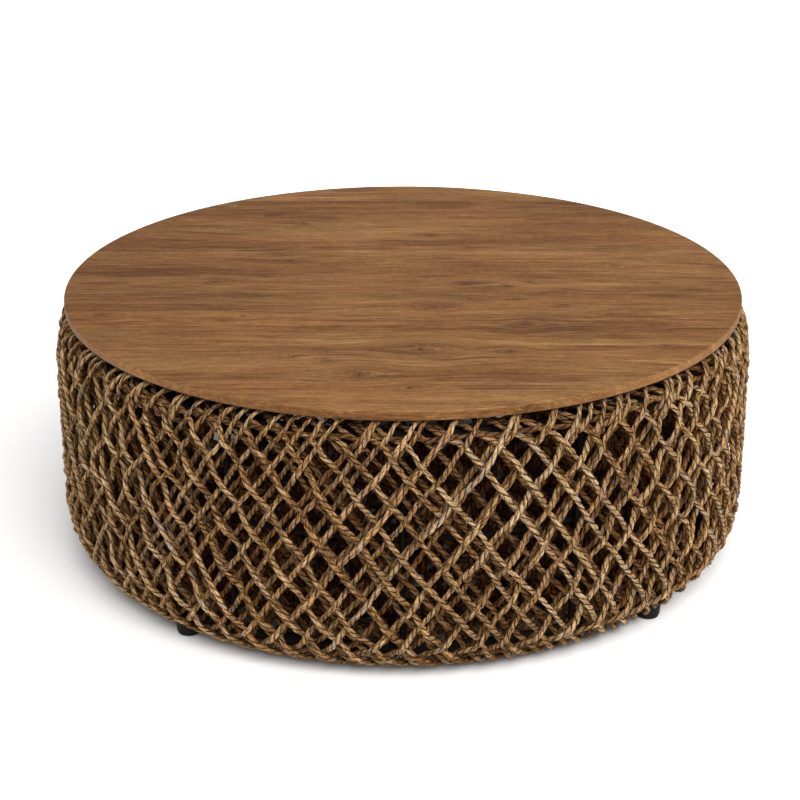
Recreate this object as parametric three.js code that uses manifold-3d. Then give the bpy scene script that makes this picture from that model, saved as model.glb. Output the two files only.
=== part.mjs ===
// Round drum coffee table: a solid wooden disc on a steel drum frame that is
// wound with twisted plant-fibre rope. Millimetres, +Z up, origin on the floor
// under the centre. The grain of the boards runs along X.
import * as THREE from 'three';
import * as BufferGeometryUtils from 'three/addons/utils/BufferGeometryUtils.js';
import Module from 'manifold-3d';

// ---- driving dimensions -------------------------------------------------
const HEIGHT = 380;          // floor to the top face
const TOP_RADIUS = 477;      // wooden disc
const TOP_THICK = 12;
const JOINT_GAP = 0.3;       // gap kept between touching pieces
const JOINTS_Y = [-381, -252, -123, 6, 135, 264, 393]; // glue joints between boards
const ROPE_D = 10;           // twisted rope
const PASS_STEP = 10.4;      // one rope pass to the next, radially
const SEG = 48;              // facets round the drum
// outer face of the winding: [height, radius]
const WALL = [[9, 444], [12, 452], [20, 463], [28, 472], [40, 481.5], [56, 488], [76, 493],
  [150, 494.5], [240, 495], [290, 494], [320, 492.5], [338, 489.5], [350, 486.5]];
const BOTTOM_RING = { r: 440, z: 34, d: 16 };
const TOP_RING = { r: 447, z: 336, d: 16 };
const MID_HOOP = { r: 437.6, z: 190, d: 8 };
const UPRIGHT_D = 8;
const UPRIGHTS = 12;
const UPRIGHT_LINE = [[42.4, 440], [190, 446.4], [327.4, 447]]; // [height, radius] of their axes
const RAIL_X = 200;          // back of each angle rail
const RAIL_H = 39.4, RAIL_W = 30, RAIL_T = 4;
const RAIL_TOP = HEIGHT - TOP_THICK - JOINT_GAP;
const SCREW_Y = [-315, -60, 70, 325];   // top screws along each rail
const FOOT_RADIUS = 440, FOOT_H = 25.7;
const FOOT_ANGLES = [49.3, 139.3, 229.3, 319.3]; // the frame stands a little turned under the boards

// ---- finishes -----------------------------------------------------------
const mat = (name, color, roughness, metalness) => {
  const m = new THREE.MeshStandardMaterial({ color, roughness, metalness });
  m.name = name;
  return m;
};
const WOOD = () => mat('wood', 0x876341, 0.5, 0);
const ROPE = (c) => mat('rope', c, 0.9, 0);
const STEEL = () => mat('frame_steel', 0x1d1a18, 0.5, 0.6);
const ZINC = () => mat('screw_steel', 0x8c8a84, 0.35, 0.9);
const RUBBER = () => mat('foot_plastic', 0x101010, 0.6, 0);

const table = new THREE.Group();
table.name = 'drum_coffee_table';
const add = (name, geometry, material) => {
  const m = new THREE.Mesh(geometry, material);
  m.name = name;
  table.add(m);
  return m;
};

// ---- solids by booleans -------------------------------------------------
const wasm = await Module();
wasm.setup();
const solid = (geometry) => {
  const g = geometry.clone();
  g.deleteAttribute('normal');
  g.deleteAttribute('uv');
  const merged = BufferGeometryUtils.mergeVertices(g, 1e-4);
  return new wasm.Manifold(new wasm.Mesh({
    numProp: 3,
    vertProperties: new Float32Array(merged.attributes.position.array),
    triVerts: new Uint32Array(merged.index.array),
  }));
};
const geometryOf = (manifold) => {
  const m = manifold.getMesh();
  const g = new THREE.BufferGeometry();
  const p = new Float32Array(m.vertProperties.length / m.numProp * 3);
  for (let i = 0; i < p.length / 3; i++) {
    for (let k = 0; k < 3; k++) p[3 * i + k] = m.vertProperties[m.numProp * i + k];
  }
  g.setAttribute('position', new THREE.BufferAttribute(p, 3));
  g.setIndex(new THREE.BufferAttribute(new Uint32Array(m.triVerts), 1));
  g.computeVertexNormals();
  return g;
};
// a ring or a turned piece about +Z from [radius, height] pairs
const turned = (pairs, segments = SEG) => {
  const pts = pairs.map(([r, z]) => new THREE.Vector2(r, z));
  const g = new THREE.LatheGeometry(pts, segments);
  g.rotateX(Math.PI / 2);
  return g;
};
// closed outline, anticlockwise in (radius, height), so the faces point out
const ring = (pairs, segments = SEG) => {
  let area = 0;
  pairs.forEach(([r, z], i) => {
    const [r2, z2] = pairs[(i + 1) % pairs.length];
    area += r * z2 - r2 * z;
  });
  const p = area > 0 ? pairs : [...pairs].reverse();
  return turned([...p, p[0]], segments);
};
const rod = (radius, z0, z1, segments = 12) => turned([[0, z0], [radius, z0], [radius, z1], [0, z1]], segments);
const circleSection = (r, z, d, n = 8) => Array.from({ length: n }, (_, i) => {
  const a = (i + 0.5) * 2 * Math.PI / n;
  return [r + d / 2 * Math.cos(a), z + d / 2 * Math.sin(a)];
});
const wall = (z) => {
  for (let i = 1; i < WALL.length; i++) {
    if (z <= WALL[i][0]) {
      const [za, ra] = WALL[i - 1], [zb, rb] = WALL[i];
      return ra + (rb - ra) * (z - za) / (zb - za);
    }
  }
  return WALL[WALL.length - 1][1];
};

// ---- the wooden disc: edge-glued boards ---------------------------------
const under = HEIGHT - TOP_THICK;
const pilot = solid(rod(2.3, under - 2, under + 8.4));
const screwSpots = [];
for (const side of [-1, 1]) for (const y of SCREW_Y) screwSpots.push([side * (RAIL_X + 17), y]);
const edges = [-TOP_RADIUS, ...JOINTS_Y, TOP_RADIUS];
for (let i = 0; i + 1 < edges.length; i++) {
  const y0 = edges[i] + (i ? JOINT_GAP / 2 : 0);
  const y1 = edges[i + 1] - (i + 2 < edges.length ? JOINT_GAP / 2 : 0);
  const a0 = Math.asin(Math.max(-1, y0 / TOP_RADIUS)), a1 = Math.asin(Math.min(1, y1 / TOP_RADIUS));
  const n = Math.max(4, Math.round((a1 - a0) / 0.06));
  const outline = [];
  for (let k = 0; k <= n; k++) {
    const a = a0 + (a1 - a0) * k / n;
    outline.push(new THREE.Vector2(TOP_RADIUS * Math.cos(a), TOP_RADIUS * Math.sin(a)));
  }
  for (let k = n; k >= 0; k--) {
    const a = a0 + (a1 - a0) * k / n;
    const p = new THREE.Vector2(-TOP_RADIUS * Math.cos(a), TOP_RADIUS * Math.sin(a));
    if (outline.every((q) => q.distanceTo(p) > 1e-3)) outline.push(p);
  }
  const g = new THREE.ExtrudeGeometry(new THREE.Shape(outline), { depth: TOP_THICK, bevelEnabled: false });
  g.translate(0, 0, under);
  let board = solid(g);
  for (const [x, y] of screwSpots) {
    if (y > y0 && y < y1) board = board.subtract(pilot.translate([x, y, 0]));
  }
  add(`top_board_${i + 1}`, geometryOf(board), WOOD());
}

// ---- steel frame --------------------------------------------------------
add('top_ring', ring(circleSection(TOP_RING.r, TOP_RING.z, TOP_RING.d)), STEEL());
add('middle_hoop', ring(circleSection(MID_HOOP.r, MID_HOOP.z, MID_HOOP.d, 6)), STEEL());
let bottomRing = solid(ring(circleSection(BOTTOM_RING.r, BOTTOM_RING.z, BOTTOM_RING.d)));
const ringHole = solid(rod(2.8, 20, 37));
const footXY = FOOT_ANGLES.map((a) => [FOOT_RADIUS * Math.cos(a * Math.PI / 180), FOOT_RADIUS * Math.sin(a * Math.PI / 180)]);
for (const [x, y] of footXY) bottomRing = bottomRing.subtract(ringHole.translate([x, y, 0]));
add('bottom_ring', geometryOf(bottomRing), STEEL());

// slightly bowed uprights welded between the bottom ring and the top ring
const hexagon = new THREE.Shape(Array.from({ length: 6 }, (_, i) => new THREE.Vector2(
  UPRIGHT_D / 2 * Math.cos(i * Math.PI / 3), UPRIGHT_D / 2 * Math.sin(i * Math.PI / 3))));
for (let i = 0; i < UPRIGHTS; i++) {
  const a = i * 2 * Math.PI / UPRIGHTS;
  const pts = UPRIGHT_LINE.map(([z, r]) => new THREE.Vector3(r * Math.cos(a), r * Math.sin(a), z));
  const curve = new THREE.QuadraticBezierCurve3(pts[0], pts[1].clone().multiplyScalar(2).addScaledVector(pts[0], -0.5).addScaledVector(pts[2], -0.5), pts[2]);
  const g = new THREE.ExtrudeGeometry(hexagon, { steps: 6, extrudePath: curve });
  add(`upright_${String(i + 1).padStart(2, '0')}`, geometryOf(solid(g)), STEEL());
}

// two angle rails across the grain, inside the top ring
const inRing = solid(rod(TOP_RING.r - TOP_RING.d / 2 - 0.4, 300, 380, SEG));
const flangeHole = solid(rod(2.7, RAIL_TOP - RAIL_T - 1, RAIL_TOP + 1));
for (const side of [-1, 1]) {
  const s = new THREE.Shape([[0, 0], [RAIL_T, 0], [RAIL_T, RAIL_H - RAIL_T], [RAIL_W, RAIL_H - RAIL_T], [RAIL_W, RAIL_H], [0, RAIL_H]]
    .map(([u, v]) => new THREE.Vector2(u, v)));
  const g = new THREE.ExtrudeGeometry(s, { depth: 860, bevelEnabled: false });
  g.rotateX(Math.PI / 2);
  g.translate(RAIL_X, 430, RAIL_TOP - RAIL_H);
  if (side < 0) g.rotateZ(Math.PI);
  let rail = solid(g).intersect(inRing);
  for (const [x, y] of screwSpots) if (Math.sign(x) === side) rail = rail.subtract(flangeHole.translate([x, y, 0]));
  add(side < 0 ? 'left_rail' : 'right_rail', geometryOf(rail), STEEL());
}
screwSpots.forEach(([x, y], i) => {
  const z = RAIL_TOP - RAIL_T - JOINT_GAP;
  const g = turned([[0, z - 3], [3.4, z - 3], [4.6, z - 1.2], [4.6, z], [2, z], [2, z + 11], [0.6, z + 12.4], [0, z + 12.4]], 10);
  g.translate(x, y, 0);
  add(`top_screw_${i + 1}`, geometryOf(solid(g)), ZINC());
});

// ---- feet ---------------------------------------------------------------
footXY.forEach(([x, y], i) => {
  const foot = turned([[5.5, 0], [13, 0], [15, 1], [16.2, 4], [18, 21], [18, FOOT_H], [2.8, FOOT_H], [2.8, 8], [5.5, 8], [5.5, 0]], 18);
  foot.translate(x, y, 0);
  add(`foot_${i + 1}`, geometryOf(solid(foot)), RUBBER());
  const screw = turned([[0, 4.4], [3.6, 4.4], [5, 5.6], [5, 7.7], [2.5, 7.7], [2.5, 34.5], [1, 36.2], [0, 36.2]], 10);
  screw.translate(x, y, 0);
  add(`foot_screw_${i + 1}`, geometryOf(solid(screw)), ZINC());
});

// ---- rope: one solid per winding pass -----------------------------------
// outline of a pass between two heights, its outer face a depth below the wall
const pass = (z0, z1, stations, depth, thick) => {
  const zs = [z0, ...stations.filter((z) => z > z0 + 2 && z < z1 - 2), z1];
  const out = zs.map((z) => [wall(z) - depth, z]);
  const inn = [...zs].reverse().map((z) => [wall(z) - depth - thick, z]);
  return [out, inn];
};
{
  const [o, n] = pass(40.4, 338, [56, 76, 290, 320], 0, ROPE_D);
  add('outer_rope_left_lean', ring([...o, ...n]), ROPE(0x9c7849));
}
{
  const [o, n] = pass(40.4, 336, [56, 76, 290, 320], PASS_STEP, ROPE_D);
  add('outer_rope_right_lean', ring([...o, [477, 344], [470.5, 352], [461, 357], [442, 358],
    [442, 348], [460, 347.5], [466.3, 344.6], ...n]), ROPE(0x8d6b42));
}
{
  const [o, n] = pass(46, 322, [60, 78, 290], 2 * PASS_STEP, 9);
  add('middle_rope_left_lean', ring([...o, ...n]), ROPE(0x7d5e3a));
}
{
  const [o, n] = pass(46, 322, [60, 78, 290], 3 * PASS_STEP - 1, 9);
  add('middle_rope_right_lean', ring([...o, ...n]), ROPE(0x7a5b38));
}
add('inner_rope_pass', ring([[427, 43], [433, 80], [433.2, 326], [415.2, 326], [415, 80], [409.5, 43]]), ROPE(0x745634));
add('shoulder_twine_row', ring([[479.6, 338.5], [489.2, 338.5], [488.4, 344], [486.5, 349.6], [473.4, 349.6], [477.4, 344]]), ROPE(0xa07c4d));
add('shoulder_rope_wrap', ring([[486.3, 350], [481.5, 357.5], [470.5, 364.5], [458, 367.2], [442, 367.5],
  [442, 358.5], [461.3, 357.6], [471.1, 352.3], [473.2, 350]]), ROPE(0x9a7648));
let rim = solid(ring([[wall(40), 40], [473.2, 29], [464, 20], [452, 12], [442, 9], [430, 9.5], [418, 13], [410, 21], [407, 32], [407, 42],
  [418, 42], [418, 33], [423, 25], [434, 21], [444, 21.3], [455, 26.3], [463, 33], [466, 40]]));
const footClear = solid(rod(18.5, -5, 32, 16));
for (const [x, y] of footXY) rim = rim.subtract(footClear.translate([x, y, 0]));
add('bottom_rope_rim', geometryOf(rim), ROPE(0x8a693f));

export default table;
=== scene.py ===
# Looks for the round rope-wound drum coffee table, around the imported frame.
import math

import bmesh
import bpy
import numpy as np
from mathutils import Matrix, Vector


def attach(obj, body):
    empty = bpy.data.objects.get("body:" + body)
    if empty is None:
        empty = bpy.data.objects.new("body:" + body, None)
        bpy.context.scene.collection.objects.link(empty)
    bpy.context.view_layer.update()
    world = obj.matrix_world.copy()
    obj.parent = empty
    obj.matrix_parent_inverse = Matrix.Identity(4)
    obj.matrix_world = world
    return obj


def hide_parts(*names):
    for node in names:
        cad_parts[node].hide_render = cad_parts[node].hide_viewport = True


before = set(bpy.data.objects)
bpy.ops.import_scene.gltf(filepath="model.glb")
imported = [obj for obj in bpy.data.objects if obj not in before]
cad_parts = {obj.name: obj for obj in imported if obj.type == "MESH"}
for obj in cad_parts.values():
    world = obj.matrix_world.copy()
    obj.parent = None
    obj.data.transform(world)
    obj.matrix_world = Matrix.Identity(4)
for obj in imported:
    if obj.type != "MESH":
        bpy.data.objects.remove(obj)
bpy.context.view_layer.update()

BODY = "root"
scene = bpy.context.scene
MM = 0.001

# ------------------------------------------------------------------ camera
AZ, EL, DIST = 0.0, math.radians(22.8), 3.0
target = Vector((0, 0, 0.18))
back = Vector((math.sin(AZ) * math.cos(EL), -math.cos(AZ) * math.cos(EL), math.sin(EL)))
cam_data = bpy.data.cameras.new("camera")
cam = bpy.data.objects.new("camera", cam_data)
scene.collection.objects.link(cam)
scene.camera = cam
cam.location = target + back * DIST
cam.rotation_mode = "QUATERNION"
cam.rotation_quaternion = (-back).to_track_quat("-Z", "Y")
cam_data.sensor_width = 36.0
cam_data.lens = 2054.7 / 800 * 36.0
cam_data.shift_x = -3.0 / 800
cam_data.shift_y = 11.6 / 800
cam_data.clip_start, cam_data.clip_end = 0.05, 200


# ------------------------------------------------------------- node helpers
class Nodes:
    """Short hand for building a node tree."""

    def __init__(self, tree):
        self.t = tree

    def new(self, kind, **props):
        n = self.t.nodes.new(kind)
        for k, v in props.items():
            setattr(n, k, v)
        return n

    def put(self, socket, value):
        if isinstance(value, bpy.types.NodeSocket):
            self.t.links.new(value, socket)
        elif value is not None:
            socket.default_value = value

    def math(self, op, a, b=None, c=None, clamp=False):
        n = self.new("ShaderNodeMath", operation=op, use_clamp=clamp)
        for i, v in enumerate((a, b, c)):
            if v is not None:
                self.put(n.inputs[i], v)
        return n.outputs[0]

    def vec(self, op, a, b=None, scale=None):
        n = self.new("ShaderNodeVectorMath", operation=op)
        self.put(n.inputs[0], a)
        if b is not None:
            self.put(n.inputs[1], b)
        if scale is not None:
            self.put(n.inputs["Scale"], scale)
        return n.outputs["Value"] if op in ("LENGTH", "DOT_PRODUCT", "DISTANCE") else n.outputs[0]

    def split(self, v):
        n = self.new("ShaderNodeSeparateXYZ")
        self.put(n.inputs[0], v)
        return n.outputs

    def join(self, x, y, z):
        n = self.new("ShaderNodeCombineXYZ")
        for i, v in enumerate((x, y, z)):
            self.put(n.inputs[i], v)
        return n.outputs[0]

    def noise(self, v, scale=1.0, detail=3.0, rough=0.5, dist=0.0, dims="3D", w=None, out="Factor"):
        n = self.new("ShaderNodeTexNoise", noise_dimensions=dims)
        if v is not None:
            self.put(n.inputs["Vector"], v)
        if w is not None:
            self.put(n.inputs["W"], w)
        self.put(n.inputs["Scale"], scale)
        self.put(n.inputs["Detail"], detail)
        self.put(n.inputs["Roughness"], rough)
        self.put(n.inputs["Distortion"], dist)
        return n.outputs[0] if out == "Factor" else n.outputs[1]

    def span(self, v, a, b, c=0.0, d=1.0, smooth=False, clamp=True):
        n = self.new("ShaderNodeMapRange", clamp=clamp)
        n.interpolation_type = "SMOOTHSTEP" if smooth else "LINEAR"
        for i, x in enumerate((v, a, b, c, d)):
            self.put(n.inputs[i], x)
        return n.outputs[0]

    def ramp(self, v, stops, mode="LINEAR"):
        n = self.new("ShaderNodeValToRGB")
        self.put(n.inputs[0], v)
        r = n.color_ramp
        r.interpolation = mode
        while len(r.elements) < len(stops):
            r.elements.new(0.5)
        for e, (p, col) in zip(r.elements, stops):
            e.position = p
            e.color = (*col, 1.0)
        return n.outputs[0]

    def mix(self, f, a, b, blend="MIX"):
        n = self.new("ShaderNodeMix", data_type="RGBA", blend_type=blend)
        self.put(n.inputs[0], f)
        for s, v in ((n.inputs[6], a), (n.inputs[7], b)):
            self.put(s, (*v, 1.0) if isinstance(v, tuple) and len(v) == 3 else v)
        return n.outputs[2]

    def white(self, x, y, z):
        """A random number for each whole-numbered cell."""
        n = self.new("ShaderNodeTexWhiteNoise", noise_dimensions="3D")
        self.put(n.inputs["Vector"], self.join(x, y, z))
        return n.outputs["Value"]

    def attr(self, name):
        return self.new("ShaderNodeAttribute", attribute_name=name).outputs

    def uv(self, name):
        return self.new("ShaderNodeUVMap", uv_map=name).outputs[0]

    def bump(self, height, strength, distance, normal=None):
        n = self.new("ShaderNodeBump")
        self.put(n.inputs["Strength"], strength)
        self.put(n.inputs["Distance"], distance)
        self.put(n.inputs["Height"], height)
        if normal is not None:
            self.put(n.inputs["Normal"], normal)
        return n.outputs[0]


def material(name):
    m = bpy.data.materials.new(name)
    m.use_nodes = True
    m.node_tree.nodes.clear()
    n = Nodes(m.node_tree)
    out = n.new("ShaderNodeOutputMaterial")
    bsdf = n.new("ShaderNodeBsdfPrincipled")
    m.node_tree.links.new(bsdf.outputs[0], out.inputs[0])
    return m, n, bsdf


# --------------------------------------------------------------- materials
def rope_material(name):
    """Two-ply plant fibre. Each ply is a twist of crumpled leaves; u is millimetres along it, v goes once round."""
    m, n, b = material(name)
    uv = n.split(n.uv("strand"))
    u, v = uv[0], uv[1]
    tint = n.split(n.attr("ply_tint")[0])
    seed = n.attr("ply_seed")[2]
    # painted shade from each vertex: darker for ropes deeper in the wall, for the side of a rope that faces in and
    # down, under the shoulder and near the bottom
    painted_shade = n.attr("painted_shade")[2]
    ang = n.math("MULTIPLY", v, 2 * math.pi)
    # round the ply as a circle, so that the streaks close on themselves; they turn against the rope's twist
    cx, cy = n.math("COSINE", ang), n.math("SINE", ang)
    off = n.math("MULTIPLY", seed, 97.0)
    twist = n.math("MULTIPLY", u, -0.29)
    ca, sa = n.math("COSINE", twist), n.math("SINE", twist)
    rx = n.math("SUBTRACT", n.math("MULTIPLY", cx, ca), n.math("MULTIPLY", cy, sa))
    ry = n.math("ADD", n.math("MULTIPLY", cx, sa), n.math("MULTIPLY", cy, ca))

    def streak(across, length, detail, rough, shift):
        return n.noise(n.join(n.math("MULTIPLY", rx, across), n.math("MULTIPLY", ry, across),
                              n.math("ADD", n.math("DIVIDE", u, length), n.math("ADD", off, shift))), 1.0, detail, rough)

    def along(length, shift, detail=1.0):
        return n.noise(n.join(n.math("DIVIDE", u, length), off, shift), 1.0, detail, 0.5)

    # the plies are twisted the other way from the rope, so the leaves in them run nearly along the rope:
    # four round the ply, a few millimetres wide, with edges that wander, each some centimetres long
    around = n.math("ADD", n.math("MULTIPLY", v, 4.0), n.math("MULTIPLY", u, -0.19))
    around = n.math("ADD", around, n.math("ADD", n.math("MULTIPLY", along(19.0, 1.7, 2.0), 2.6), 10.0))
    frac = n.math("FRACT", around)
    leaf = n.math("FLOORED_MODULO", n.math("FLOOR", around), 4.0)
    start = n.white(leaf, n.math("MULTIPLY", seed, 571.0), 0.0)
    piece = n.math("FLOOR", n.math("ADD", n.math("DIVIDE", u, 23.0), n.math("MULTIPLY", start, 9.0)))
    tone = n.white(leaf, piece, n.math("MULTIPLY", seed, 917.0))
    odd = n.white(piece, leaf, n.math("MULTIPLY", seed, 433.0))
    edge = n.math("MINIMUM", frac, n.math("SUBTRACT", 1.0, frac))
    # painted shade along the edges of each leaf, where they crease
    crease_shade = n.math("MULTIPLY", n.span(edge, 0.04, 0.19, 1.0, 0.0, smooth=True), n.span(along(8.0, 5.3), 0.36, 0.58, 0.40, 1.0))
    nick = n.span(streak(2.6, 3.0, 2.0, 0.6, 71.0), 0.56, 0.63)
    round_leaf = n.math("SQRT", n.math("MULTIPLY", n.math("MULTIPLY", frac, n.math("SUBTRACT", 1.0, frac)), 4.0))
    coarse = n.span(streak(2.6, 11.0, 2.0, 0.6, 11.0), 0.30, 0.70)
    fine = n.span(streak(5.5, 7.0, 3.0, 0.65, 23.0), 0.30, 0.70)
    patch = n.span(n.noise(n.join(n.math("DIVIDE", u, 30.0), n.math("MULTIPLY", seed, 31.0), 3.1), 1.0, 3.0, 0.6), 0.3, 0.7)
    crumple = n.span(streak(1.3, 4.5, 2.0, 0.6, 47.0), 0.32, 0.68)
    t = n.math("ADD", n.math("MULTIPLY", tone, 0.28), n.math("MULTIPLY", coarse, 0.24))
    t = n.math("ADD", t, n.math("MULTIPLY", fine, 0.20))
    t = n.math("ADD", t, n.math("MULTIPLY", crumple, 0.26))
    t = n.math("ADD", t, n.math("MULTIPLY", patch, 0.14))
    t = n.math("ADD", t, n.math("MULTIPLY", tint[0], 0.30))
    t = n.span(t, 0.303, 0.995)
    col = n.ramp(t, [(0.0, (0.038, 0.016, 0.005)), (0.20, (0.138, 0.067, 0.022)), (0.42, (0.328, 0.189, 0.073)),
                     (0.68, (0.530, 0.346, 0.164)), (1.0, (0.690, 0.523, 0.326))])
    # a few weathered leaves have gone grey, and some ropes are redder
    grey = n.math("MULTIPLY", n.span(tint[1], 0.80, 0.97, 0.0, 0.75), n.span(along(46.0, 9.1), 0.44, 0.56))
    weathered = n.math("MAXIMUM", n.span(odd, 0.92, 0.97, 0.0, 0.65), grey)
    dull = n.new("ShaderNodeHueSaturation")
    n.put(dull.inputs["Saturation"], n.span(weathered, 0.0, 1.0, 1.0, 0.42))
    n.put(dull.inputs["Value"], n.span(weathered, 0.0, 1.0, 1.0, 0.72))
    n.put(dull.inputs["Color"], col)
    red = n.mix(n.span(tint[2], 0.60, 1.0, 0.0, 0.80), dull.outputs[0],
                n.mix(1.0, dull.outputs[0], (1.0, 0.76, 0.54), "MULTIPLY"))
    # painted shade in the creases between the leaves and where the plies bed together, and dark nicks along the leaves;
    # deeper ropes and the sides that face in are painted darker and browner
    inner = n.math("ABSOLUTE", n.math("SUBTRACT", v, 0.5))
    crease_shade_and_nicks = n.math("MAXIMUM", n.math("MULTIPLY", crease_shade, 0.94), n.math("MULTIPLY", nick, 0.84))
    red = n.mix(crease_shade_and_nicks, red, n.mix(1.0, red, (0.23, 0.145, 0.095), "MULTIPLY"))
    shade = n.math("MULTIPLY", n.span(inner, 0.150, 0.265, 0.06, 1.0, smooth=True), painted_shade)
    lit = n.mix(1.0, red, n.join(n.math("POWER", shade, 0.88), n.math("POWER", shade, 1.14), n.math("POWER", shade, 1.46)), "MULTIPLY")
    n.put(b.inputs["Base Color"], lit)
    n.put(b.inputs["Roughness"], n.span(coarse, 0.0, 1.0, 0.85, 0.58))
    b.inputs["Specular IOR Level"].default_value = 0.07
    h = n.math("ADD", n.math("MULTIPLY", round_leaf, 0.55), n.math("ADD", n.math("MULTIPLY", coarse, 0.40), n.math("ADD", n.math("MULTIPLY", fine, 0.30), n.math("MULTIPLY", crumple, 0.55))))
    n.put(b.inputs["Normal"], n.bump(h, 1.0, 0.0016))
    return m


def knot_group():
    """How one knot bends the grain beside it, and where its core, its halo and the dark line through it are."""
    g = bpy.data.node_groups.new("knot", "ShaderNodeTree")
    for name in ("x", "y", "at_x", "at_y", "size", "trail"):
        g.interface.new_socket(name, in_out="INPUT", socket_type="NodeSocketFloat")
    for name in ("bend", "dark", "halo", "line"):
        g.interface.new_socket(name, in_out="OUTPUT", socket_type="NodeSocketFloat")
    n = Nodes(g)
    i, o = n.new("NodeGroupInput").outputs, n.new("NodeGroupOutput").inputs
    dx = n.math("DIVIDE", n.math("SUBTRACT", i["x"], i["at_x"]), i["size"])
    dy = n.math("DIVIDE", n.math("SUBTRACT", i["y"], i["at_y"]), i["size"])
    xx, yy = n.math("MULTIPLY", dx, dx), n.math("MULTIPLY", dy, dy)

    def fall(a, b):
        return n.math("POWER", 2.718, n.math("MULTIPLY", n.math("ADD", n.math("MULTIPLY", xx, a), n.math("MULTIPLY", yy, b)), -1.0))

    n.put(o["bend"], n.math("MULTIPLY", n.math("MULTIPLY", dy, i["size"]), fall(0.10, 0.20)))
    n.put(o["dark"], fall(3.2, 4.2))
    n.put(o["halo"], fall(0.20, 0.50))
    n.put(o["line"], n.math("MULTIPLY", fall(0.013, 7.0), i["trail"]))
    return g


# small knots in the boards: x, y and size in millimetres, and how dark the line is that runs on from them
KNOTS = [(-53, -353, 17, 0.0), (24, -264, 20, 0.3), (-149, -287, 7, 0.2), (-101, -272, 6, 0.5), (-98, -305, 10, 0.3),
         (9, -400, 7, 0.8), (-176, -329, 6, 0.3), (89, -9, 10, 0.9), (103, 75, 6, 0.2), (181, 0, 5, 0.8),
         (147, -17, 7, 0.3), (233, 44, 5, 0.9), (223, -51, 8, 1.0), (307, 71, 9, 0.8), (93, -74, 6, 1.0),
         (44, -105, 12, 0.4), (156, -72, 5, 0.5), (223, -96, 10, 0.1), (164, -172, 12, 0.1), (338, -179, 7, 0.5),
         (138, -272, 8, 0.4), (345, -251, 8, 0.2), (-279, 366, 10, 0.5), (-208, 318, 7, 0.4), (-153, 277, 6, 0.8),
         (-111, 303, 5, 0.8), (-265, 0, 8, 0.4), (-354, 287, 6, 0.3), (-179, 126, 9, 0.1), (-165, 93, 8, 0.3),
         (-190, 30, 7, 0.4), (-219, -140, 5, 0.9), (-241, -156, 5, 0.9), (-411, -140, 9, 0.3), (40, 215, 6, 0.3),
         (210, 300, 7, 0.4)]


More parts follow.
